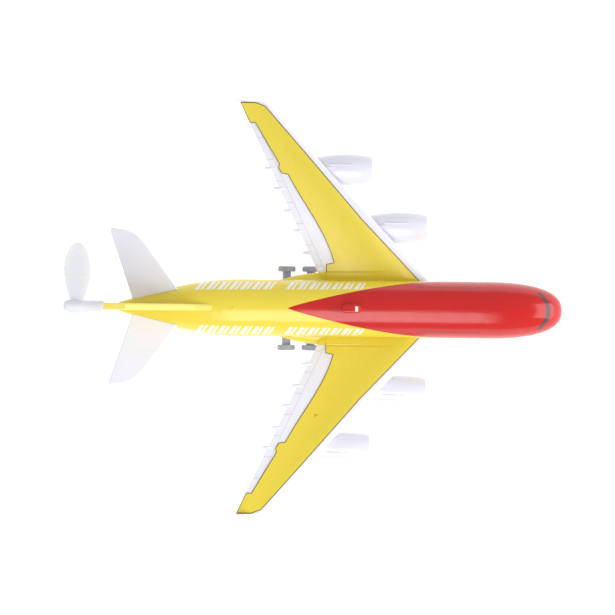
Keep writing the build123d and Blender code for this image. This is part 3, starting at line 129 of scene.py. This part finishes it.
class Graph:
    """The nodes of one material. Its x, y and z are the row frame's, in millimetres."""

    def __init__(self, name):
        self.material = bpy.data.materials.new(name)
        self.material.use_nodes = True
        self.tree = self.material.node_tree
        self.shader = self.tree.nodes["Principled BSDF"]
        coordinates = self.tree.nodes.new("ShaderNodeTexCoord")
        scaled = self.tree.nodes.new("ShaderNodeVectorMath")
        scaled.operation = "SCALE"
        scaled.inputs["Scale"].default_value = MM_PER_M
        self.tree.links.new(coordinates.outputs["Object"], scaled.inputs[0])
        self.place = scaled.outputs[0]
        split = self.tree.nodes.new("ShaderNodeSeparateXYZ")
        self.tree.links.new(self.place, split.inputs[0])
        self.x, self.y, self.z = split.outputs

    def put(self, socket, value):
        if isinstance(value, bpy.types.NodeSocket):
            self.tree.links.new(value, socket)
        else:
            socket.default_value = value

    def math(self, operation, *values):
        node = self.tree.nodes.new("ShaderNodeMath")
        node.operation = operation
        for socket, value in zip(node.inputs, values):
            self.put(socket, value)
        return node.outputs[0]

    def ramp(self, value, low, high):
        """0 below low, 1 above high, straight between."""
        node = self.tree.nodes.new("ShaderNodeMapRange")
        self.put(node.inputs["Value"], value)
        self.put(node.inputs["From Min"], low)
        self.put(node.inputs["From Max"], high)
        return node.outputs[0]

    def above(self, value, limit, soft=0.12):
        """1 where value is over the limit, with a crisp but not jagged edge."""
        return self.ramp(self.math("SUBTRACT", value, limit), -soft, soft)

    def within(self, value, low, high, soft=0.12):
        """1 where value is between low and high."""
        return self.both(self.above(value, low, soft), self.outside(self.above(value, high, soft)))

    def outside(self, mask):
        """1 where the mask is 0."""
        return self.math("SUBTRACT", 1.0, mask)

    def both(self, *masks):
        """1 where every mask is 1."""
        result = masks[0]
        for mask in masks[1:]:
            result = self.math("MULTIPLY", result, mask)
        return result

    def mix(self, share, first, second):
        """The first colour where share is 0, the second where it is 1."""
        node = self.tree.nodes.new("ShaderNodeMix")
        node.data_type = "RGBA"
        colours = [socket for socket in node.inputs if socket.type == "RGBA"]
        self.put(node.inputs[0], share)
        self.put(colours[0], first)
        self.put(colours[1], second)
        return next(socket for socket in node.outputs if socket.type == "RGBA")

    def stretched(self, x, y, z):
        """The place, scaled along each axis."""
        node = self.tree.nodes.new("ShaderNodeVectorMath")
        node.operation = "MULTIPLY"
        self.put(node.inputs[0], self.place)
        node.inputs[1].default_value = (x, y, z)
        return node.outputs[0]

    def noise(self, per_mm, detail=3.0, place=None):
        node = self.tree.nodes.new("ShaderNodeTexNoise")
        self.put(node.inputs["Vector"], place or self.place)
        node.inputs["Scale"].default_value = per_mm
        node.inputs["Detail"].default_value = detail
        return node.outputs[0]

    def tinted(self, colour, amount, share):
        """The colour, darkened by up to amount where share is 1."""
        node = self.tree.nodes.new("ShaderNodeHueSaturation")
        self.put(node.inputs["Color"], colour)
        self.put(node.inputs["Value"], self.outside(self.math("MULTIPLY", share, amount)))
        return node.outputs[0]

    def bump(self, *layers):
        """Surface relief from (height 0..1, depth in mm) layers."""
        normal = None
        for height, depth in layers:
            node = self.tree.nodes.new("ShaderNodeBump")
            node.inputs["Distance"].default_value = depth / MM_PER_M
            self.put(node.inputs["Height"], height)
            if normal is not None:
                self.put(node.inputs["Normal"], normal)
            normal = node.outputs[0]
        self.put(self.shader.inputs["Normal"], normal)

    def scratches(self):
        """Sparse fine scratches along and across the airplane: 1 in a scratch."""
        along = self.noise(1.0, 2.0, self.stretched(0.05, 1.4, 1.4))
        across = self.noise(1.0, 2.0, self.stretched(0.9, 0.06, 0.5))
        patchy = self.ramp(self.noise(0.03, 2.0), 0.45, 0.7)
        lines = []
        for noise in (along, across):
            from_middle = self.math("ABSOLUTE", self.math("SUBTRACT", noise, 0.5))
            lines.append(self.ramp(from_middle, 0.012, 0.0))
        return self.math("MULTIPLY", self.math("MAXIMUM", *lines), patchy)

    def drift(self, per_mm=0.012, detail=3.0):
        """A slow change of tone, from 0 to 1."""
        return self.ramp(self.noise(per_mm, detail), 0.3, 0.7)

    def finish(self, colour, rough_low, rough_high, **sockets):
        """The finished material; sockets are the shader's, with _ for a space."""
        self.put(self.shader.inputs["Base Color"], colour)
        rough = self.noise(0.06, 4.0)
        spread = self.tree.nodes.new("ShaderNodeMapRange")
        self.put(spread.inputs["Value"], rough)
        spread.inputs["From Min"].default_value = 0.35
        spread.inputs["From Max"].default_value = 0.65
        spread.inputs["To Min"].default_value = rough_low
        spread.inputs["To Max"].default_value = rough_high
        self.put(self.shader.inputs["Roughness"], spread.outputs[0])
        for name, value in sockets.items():
            self.shader.inputs[name.replace("_", " ")].default_value = value
        return self.material


# ---- plastics ------------------------------------------------------------------------------------
def gloss_plastic(name, colour, rough=(0.16, 0.26), ripple=0.012, **sockets):
    """Moulded and polished plastic: slow tone drift, orange peel, fine scratches."""
    g = Graph(name)
    scratch = g.scratches()
    shade = g.tinted(g.tinted(colour, 0.05, g.drift()), 0.06, scratch)
    g.bump((g.noise(0.22, 2.0), ripple), (g.noise(2.6, 3.0), PEEL_DEPTH), (scratch, SCRATCH_DEPTH))
    return g.finish(shade, *rough, **sockets)


def satin_plastic(name, colour, rough=(0.38, 0.55)):
    """Moulded plastic with a spark-eroded grain."""
    g = Graph(name)
    grains = g.noise(3.2, 5.0)
    shade = g.tinted(g.tinted(colour, 0.10, g.drift(0.05, 4.0)), 0.10, g.ramp(grains, 0.55, 0.75))
    g.bump((g.noise(0.5, 3.0), 0.02), (grains, 0.012))
    return g.finish(shade, *rough)


def metal(name, colour, rough=(0.22, 0.36), lay=(0.15, 3.0, 3.0)):
    """Drawn or turned metal: fine lines along the axis of lay's smallest number."""
    g = Graph(name)
    lines = g.noise(1.0, 4.0, g.stretched(*lay))
    tarnish = g.ramp(g.noise(0.25, 4.0), 0.45, 0.75)
    shade = g.tinted(g.tinted(colour, 0.15, lines), 0.22, tarnish)
    g.bump((lines, 0.006))
    return g.finish(shade, *rough, Metallic=1.0)


def livery(name):
    """Fuselage paint: yellow aft, red ahead, bars, windows, a cockpit band and a white belly."""
    g = Graph(name)
    side = g.math("ABSOLUTE", g.y)
    up = g.math("DIVIDE", g.math("SUBTRACT", g.z, BODY_AXIS_Z), BODY_HALF_HEIGHT)
    out = g.math("DIVIDE", side, BODY_HALF_WIDTH)
    round_deg = g.math("DEGREES", g.math("ARCTAN2", out, up))

    # the red field's edge, in degrees round the body at a distance ahead of its apex
    ahead = g.math("MAXIMUM", g.math("SUBTRACT", g.x, RED_APEX_X), 0.0)
    blunt = g.math("DIVIDE", ahead, g.math("ADD", ahead, RED_BLUNT_LENGTH))
    blunt_deg = g.math("MULTIPLY", blunt, RED_BLUNT_DEG)
    edge_deg = g.math("ADD", g.math("MULTIPLY", ahead, RED_EDGE_DEG_PER_MM), blunt_deg)
    inside_deg = g.math("SUBTRACT", edge_deg, round_deg)
    red = g.both(g.above(inside_deg, 0.0, 0.35), g.above(g.x, RED_APEX_X))
    colour = g.mix(red, YELLOW, RED)

    # slanted bars along each side
    hand = g.math("SIGN", g.y)
    height = g.math("SUBTRACT", BAR_OUTER_Y, side)
    leaning = g.math("ADD", g.x, g.math("MULTIPLY", g.math("MULTIPLY", hand, height), BAR_SLANT))
    leaning = g.math("SUBTRACT", leaning, g.math("MULTIPLY", hand, BAR_HAND_SHIFT))
    step = g.math("DIVIDE", g.math("SUBTRACT", leaning, BAR_FIRST_X), BAR_PITCH)
    cell = g.math("FLOOR", step)
    share = g.math("SUBTRACT", step, cell)
    wide = g.within(share, *WIDE_BAR, BAR_EDGE)
    thin = g.within(share, *THIN_BAR, BAR_EDGE)
    gap = g.math("COMPARE", cell, float(BAR_GAP_CELL), 0.5)
    spread = g.math("MULTIPLY", g.math("SUBTRACT", g.x, BAR_FIRST_X), BAR_INNER_SPREAD)
    inner = g.math("ADD", BAR_INNER_Y, spread)
    bars = g.both(
        g.math("MAXIMUM", wide, thin),
        g.outside(gap),
        g.above(side, inner),
        g.above(BAR_OUTER_Y, side),
        g.above(g.z, BAR_LOWEST_Z),
        g.within(leaning, BAR_FIRST_X, BAR_LAST_X),
    )
    colour = g.mix(bars, colour, MARK_WHITE)

    # two rows of cabin windows
    from_count = g.math("SUBTRACT", g.x, WINDOW_COUNT_FROM_X)
    window_share = g.math("FRACT", g.math("DIVIDE", from_count, WINDOW_PITCH))
    pane = g.within(window_share, *WINDOW_PANE, WINDOW_EDGE)
    upper_row = g.both(g.within(g.z, *UPPER_WINDOWS_Z), g.within(g.x, *UPPER_WINDOWS_X))
    lower_row = g.both(g.within(g.z, *LOWER_WINDOWS_Z), g.within(g.x, *LOWER_WINDOWS_X))
    rows = g.math("MAXIMUM", upper_row, lower_row)
    windows = g.both(pane, rows, g.above(side, WINDOW_INNER_Y))
    colour = g.mix(g.math("MULTIPLY", windows, 0.8), colour, WINDOW_GREY)

    # cockpit windscreen, a curved band over the nose
    bow = g.math("MULTIPLY", g.math("MULTIPLY", g.y, g.y), COCKPIT_BAND_BOW)
    from_band = g.math("ABSOLUTE", g.math("SUBTRACT", g.math("ADD", g.x, bow), COCKPIT_BAND_X))
    band = g.both(
        g.above(COCKPIT_BAND_HALF_WIDTH, from_band),
        g.above(COCKPIT_BAND_HALF_SPAN, side),
        g.above(g.z, COCKPIT_BAND_LOWEST_Z),
    )
    pane_share = g.math("FRACT", g.math("DIVIDE", side, COCKPIT_POST_PITCH))
    posts = g.above(g.math("ABSOLUTE", g.math("SUBTRACT", pane_share, 0.5)), 0.46, 0.01)
    band = g.both(band, g.outside(g.math("MULTIPLY", posts, 0.5)))
    colour = g.mix(g.math("MULTIPLY", band, 0.9), colour, BAND_GREY)

    belly = g.above(BELLY_LINE_Z, g.z)
    colour = g.mix(belly, colour, WHITE)

    scratch = g.scratches()
    colour = g.tinted(g.tinted(colour, 0.05, g.drift()), 0.06, scratch)
    ink = g.math("MAXIMUM", bars, g.math("MAXIMUM", windows, band))
    g.bump(
        (ink, 0.015),
        (g.math("SUBTRACT", red, belly), 0.02),
        (g.noise(0.20, 2.0), 0.010),
        (g.noise(2.6, 3.0), PEEL_DEPTH),
        (scratch, SCRATCH_DEPTH),
    )
    return g.finish(colour, 0.13, 0.22)


def wing_plastic(name):
    """White wing moulding, yellow at the aft root, with flap and aileron grooves on its trailing strip,
    darkened as painted shade in the grooves.
    """
    g = Graph(name)
    side = g.math("ABSOLUTE", g.y)
    share = g.math("DIVIDE", g.math("SUBTRACT", side, WING_ROOT_Y), WING_SPAN_Y)
    trailing = g.math("SUBTRACT", WING_TRAILING_ROOT_X, g.math("MULTIPLY", share, WING_TRAILING_SWEEP))
    ahead = g.math("SUBTRACT", g.x, trailing)
    upper = g.above(g.z, WING_TOP_Z)
    cross = g.within(g.math("FRACT", g.math("DIVIDE", side, FLAP_PITCH)), 0.0, 0.03, 0.008)
    cross = g.both(cross, g.above(HINGE_LINE[1], ahead))
    shaded_groove = g.both(g.math("MAXIMUM", g.within(ahead, *HINGE_LINE), cross), upper)
    scratch = g.scratches()
    root = g.both(g.above(ROOT_STRIP_Y, side), g.above(ROOT_STRIP_FRONT_X, g.x), upper)
    paint = g.tinted(g.mix(root, WHITE, YELLOW), 0.05, g.drift(0.02))
    # painted shade: the flap and aileron grooves are darkened by 0.16
    colour = g.tinted(g.tinted(paint, 0.16, shaded_groove), 0.05, scratch)
    g.bump((g.outside(shaded_groove), 0.12), (g.noise(0.25, 2.0), 0.012), (scratch, SCRATCH_DEPTH))
    return g.finish(
        colour, 0.18, 0.30, Subsurface_Weight=0.12, Subsurface_Scale=0.002, Subsurface_Radius=EVEN_RADIUS
    )


def panel_plastic(name):
    """The yellow wing panel, with a soft crease where the root strip ends, darkened along it as painted
    shade.
    """
    g = Graph(name)
    scratch = g.scratches()
    side = g.math("ABSOLUTE", g.y)
    from_crease = g.math("ABSOLUTE", g.math("SUBTRACT", side, ROOT_STRIP_Y))
    shaded_crease = g.both(g.ramp(from_crease, PANEL_CREASE_HALF_WIDTH, 0.0), g.ramp(g.x, *PANEL_CREASE_X))
    shade = g.tinted(g.tinted(PANEL_YELLOW, 0.05, g.drift()), 0.06, scratch)
    # painted shade: the panel is darkened by 0.12 along the crease
    shade = g.tinted(shade, 0.12, shaded_crease)
    g.bump(
        (g.outside(shaded_crease), 0.25),
        (g.noise(0.22, 2.0), 0.010),
        (g.noise(2.6, 3.0), PEEL_DEPTH),
        (scratch, SCRATCH_DEPTH),
    )
    return g.finish(shade, 0.24, 0.34)


def string_eye_plastic(name):
    """Red like the body, with a small ivory patch on the lug's crown: a painted highlight where the lug
    shows a glint.
    """
    g = Graph(name)
    scratch = g.scratches()
    # painted highlight: an ivory patch stands for the glint on the lug's crown; the bump also raises it a
    # hair
    painted_glint = g.both(g.within(g.x, *EYE_GLINT_X), g.within(g.y, *EYE_GLINT_Y), g.above(g.z, EYE_GLINT_LOWEST_Z))
    colour = g.tinted(g.mix(painted_glint, RED, GLINT_IVORY), 0.08, g.noise(0.3, 3.0))
    g.bump((painted_glint, 0.03), (g.noise(0.4, 2.0), 0.008), (scratch, SCRATCH_DEPTH))
    return g.finish(colour, 0.15, 0.22)


def cell_jacket(name):
    """A plain dry cell's jacket: dark body, a bright ring at each end."""
    g = Graph(name)
    ring = g.math("MAXIMUM", *(g.within(g.x, *limits) for limits in CELL_RINGS_X))
    colour = g.tinted(g.mix(ring, JACKET_DARK, JACKET_BRIGHT), 0.2, g.noise(0.4, 4.0))
    g.bump((g.noise(1.4, 3.0), 0.006))
    return g.finish(colour, 0.25, 0.4, Metallic=0.5)


def wrinkled_lead(name, colour):
    """A lead's soft insulation."""
    g = Graph(name)
    g.bump((g.noise(1.2, 4.0), 0.03))
    return g.finish(g.tinted(colour, 0.25, g.noise(0.5, 4.0)), 0.35, 0.5)


MATERIALS = {
    "red_yellow_shell": livery("livery"),
    "door_plastic": gloss_plastic("door_white", WHITE),
    # the fin's paler yellow is painted highlight
    "fin_yellow": gloss_plastic("fin_yellow", FIN_HIGHLIT_YELLOW, rough=(0.16, 0.24)),
    "eye_red": string_eye_plastic("eye_red"),
    "wing_white": wing_plastic("wing_white"),
    "wing_yellow": panel_plastic("panel_yellow"),
    "tailplane_white": gloss_plastic(
        "tailplane_white",
        TAILPLANE_WHITE,
        Subsurface_Weight=0.15,
        Subsurface_Scale=0.002,
        Subsurface_Radius=EVEN_RADIUS,
    ),
    "pod_white": gloss_plastic("pod_white", POD_WHITE, rough=(0.12, 0.2)),
    "fan_grey": satin_plastic("fan_grey", FAN_GREY),
    "wheel_grey": satin_plastic("wheel_grey", WHEEL_GREY, rough=(0.34, 0.5)),
    "leg_grey": satin_plastic("leg_grey", WHEEL_GREY),
    "cell_jacket": cell_jacket("cell_jacket"),
    "propeller_translucent": gloss_plastic(
        "propeller_milky",
        PROPELLER_WHITE,
        rough=(0.22, 0.34),
        ripple=0.004,
        Subsurface_Weight=0.6,
        Subsurface_Scale=0.004,
        Subsurface_Radius=EVEN_RADIUS,
    ),
    "shaft_steel": metal("shaft_steel", (0.62, 0.62, 0.64, 1.0)),
    "bush_brass": metal("bush_brass", (0.72, 0.50, 0.20, 1.0)),
    "nylon_white": satin_plastic("nylon_white", (0.78, 0.78, 0.75, 1.0)),
    "coupling_black": satin_plastic("coupling_black", BLACK),
    "motor_steel": metal("motor_steel", (0.58, 0.58, 0.60, 1.0), lay=(3.0, 0.3, 0.3)),
    "motor_cap_white": satin_plastic("motor_cap_white", (0.75, 0.74, 0.70, 1.0)),
    "terminal_brass": metal("terminal_brass", (0.62, 0.50, 0.28, 1.0)),
    "magnet_dark": satin_plastic("magnet_dark", (0.03, 0.03, 0.033, 1.0)),
    "rotor_steel": metal("rotor_steel", (0.40, 0.36, 0.32, 1.0), lay=(4.0, 0.2, 0.2)),
    "cradle_white": satin_plastic("cradle_white", (0.76, 0.76, 0.80, 1.0)),
    "strap_steel": metal("strap_steel", (0.60, 0.60, 0.62, 1.0)),
    "screw_steel": metal("screw_steel", (0.56, 0.56, 0.58, 1.0), lay=(2.0, 2.0, 0.4)),
    "tray_black": satin_plastic("tray_black", BLACK),
    "contact_nickel": metal("contact_nickel", (0.68, 0.67, 0.64, 1.0), rough=(0.14, 0.26)),
    "switch_case": metal("switch_case", (0.56, 0.56, 0.57, 1.0)),
    "knob_black": satin_plastic("knob_black", BLACK),
    "lead_black": wrinkled_lead("lead_black", BLACK),
    "lead_red": wrinkled_lead("lead_red", (0.45, 0.01, 0.01, 1.0)),
}
MATERIALS["white_shell"] = MATERIALS["red_yellow_shell"]

SLOT_OF_NODE = {part["node"]: part["material_slot"] for part in frame["record"]["subparts"]}

for node_name, node in frame["nodes"].items():
    node.data.materials.clear()
    node.data.materials.append(MATERIALS[SLOT_OF_NODE[node_name]])


# ---- the dark line round each yellow wing panel --------------------------------------------------
LINE_RADIUS = 0.00030
LINE_SUNK = 0.4  # the bead's axis lies this share of its radius under the rim
LINE_CRUMB = 4  # chains of up to this many points are crumbs of the mesh
LINE_INNER_Y = 0.0225  # none along the fuselage


def rim_chains(node_name):
    """The top rim of a wing panel, as lists of points in order."""
    shape = bmesh.new()
    shape.from_mesh(frame["nodes"][node_name].data)
    bmesh.ops.remove_doubles(shape, verts=shape.verts, dist=1e-6)
    shape.normal_update()
    neighbours = {}
    for edge in shape.edges:
        slopes = sorted(face.normal.z for face in edge.link_faces)
        outboard = max(abs(vertex.co.y) for vertex in edge.verts) > LINE_INNER_Y
        if len(slopes) == 2 and slopes[1] > 0.7 and abs(slopes[0]) < 0.5 and outboard:
            first, second = (vertex.index for vertex in edge.verts)
            neighbours.setdefault(first, []).append(second)
            neighbours.setdefault(second, []).append(first)
    points = {vertex.index: vertex.co.copy() for vertex in shape.verts}
    shape.free()
    chains = []
    while neighbours:
        ends = [index for index, near in neighbours.items() if len(near) == 1]
        here = min(ends) if ends else min(neighbours)
        chain = [here]
        while neighbours.get(here):
            after = neighbours[here].pop(0)
            neighbours[after].remove(here)
            chain.append(after)
            here = after
        for index in [index for index, near in neighbours.items() if not near]:
            del neighbours[index]
        if len(chain) > LINE_CRUMB:
            chains.append([points[index] for index in chain])
    return chains


def panel_line(side, material):
    """A fine dark bead let into the joint round the panel."""
    curve = bpy.data.curves.new(f"{side}_panel_line", "CURVE")
    curve.dimensions = "3D"
    curve.bevel_depth = LINE_RADIUS
    curve.bevel_resolution = 2
    curve.use_fill_caps = True
    for chain in rim_chains(f"{side}_wing_top_panel"):
        spline = curve.splines.new("POLY")
        spline.points.add(len(chain) - 1)
        for point, place in zip(spline.points, chain):
            reach = abs(place.y)
            if place.x * MM_PER_M < ROOT_STRIP_FRONT_X:
                reach = max(reach, ROOT_STRIP_Y / MM_PER_M)
            height = place.z - LINE_RADIUS * LINE_SUNK
            point.co = (place.x, math.copysign(reach, place.y), height, 1.0)
    bead = bpy.data.objects.new(f"{side}_panel_line", curve)
    bpy.context.scene.collection.objects.link(bead)
    bead.data.materials.append(material)
    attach(bead, "airframe")


line_brown = satin_plastic("line_brown", BROWN)
for side in ("port", "starboard"):
    panel_line(side, line_brown)


# ---- floor, light, camera ------------------------------------------------------------------------
FLOOR_REACH = 6.0
FLOOR_EMISSION = 0.85
SKY_STRENGTH = 0.64
LIGHT_TARGET_Z = 0.04


def make_floor():
    """A white sheet that glows a little, so that it is as bright as the photo's ground."""
    size = FLOOR_REACH
    mesh = bpy.data.meshes.new("floor")
    corners = [(-size, -size, 0), (size, -size, 0), (size, size, 0), (-size, size, 0)]
    mesh.from_pydata(corners, [], [(0, 1, 2, 3)])
    floor = bpy.data.objects.new("floor", mesh)
    bpy.context.scene.collection.objects.link(floor)
    material = bpy.data.materials.new("floor_white")
    material.use_nodes = True
    shader = material.node_tree.nodes["Principled BSDF"]
    shader.inputs["Base Color"].default_value = FLOOR_GREY
    shader.inputs["Roughness"].default_value = 0.8
    shader.inputs["Emission Color"].default_value = FLOOR_GLOW
    shader.inputs["Emission Strength"].default_value = FLOOR_EMISSION
    mesh.materials.append(material)


def softbox(name, place, target_x, size, power):
    """A lamp of size metres at place, turned to the airplane's middle plane at target_x."""
    data = bpy.data.lights.new(name, "AREA")
    data.shape = "RECTANGLE"
    data.size, data.size_y = size
    data.energy = power
    lamp = bpy.data.objects.new(name, data)
    lamp.location = place
    aim = Vector((target_x, 0.0, LIGHT_TARGET_Z)) - Vector(place)
    lamp.rotation_euler = aim.to_track_quat("-Z", "Y").to_euler()
    bpy.context.scene.collection.objects.link(lamp)


def make_world():
    """An even pale sky."""
    world = bpy.data.worlds.new("studio")
    world.use_nodes = True
    background = world.node_tree.nodes["Background"]
    background.inputs["Color"].default_value = SKY
    background.inputs["Strength"].default_value = SKY_STRENGTH
    bpy.context.scene.world = world


CAMERA_HEIGHT = 1.35
SUBJECT_Z = 0.040  # height at which the picture's scale is taken
PICTURE_WIDTH = 0.4683  # what the picture spans at that height
CAMERA_X = -0.0046
CAMERA_Y = 0.0007
CAMERA_TURN_DEG = 0.61


def make_camera():
    """The photo's view: straight down, with the picture's top toward the port wing."""
    data = bpy.data.cameras.new("camera")
    data.sensor_width = 36.0
    data.lens = data.sensor_width * (CAMERA_HEIGHT - SUBJECT_Z) / PICTURE_WIDTH
    data.clip_start = 0.05
    data.clip_end = 50.0
    camera = bpy.data.objects.new("camera", data)
    camera.location = (CAMERA_X, CAMERA_Y, CAMERA_HEIGHT)
    camera.rotation_euler = (0.0, 0.0, math.radians(CAMERA_TURN_DEG))
    bpy.context.scene.collection.objects.link(camera)
    bpy.context.scene.camera = camera


make_floor()
make_world()
softbox("side_box", place=(0.03, -0.66, 0.95), target_x=0.0, size=(0.50, 1.0), power=6.3)
softbox("nose_box", place=(1.20, 0.0, 0.48), target_x=0.15, size=(1.30, 0.85), power=9.5)
make_camera()
bpy.context.scene.view_settings.view_transform = "Standard"
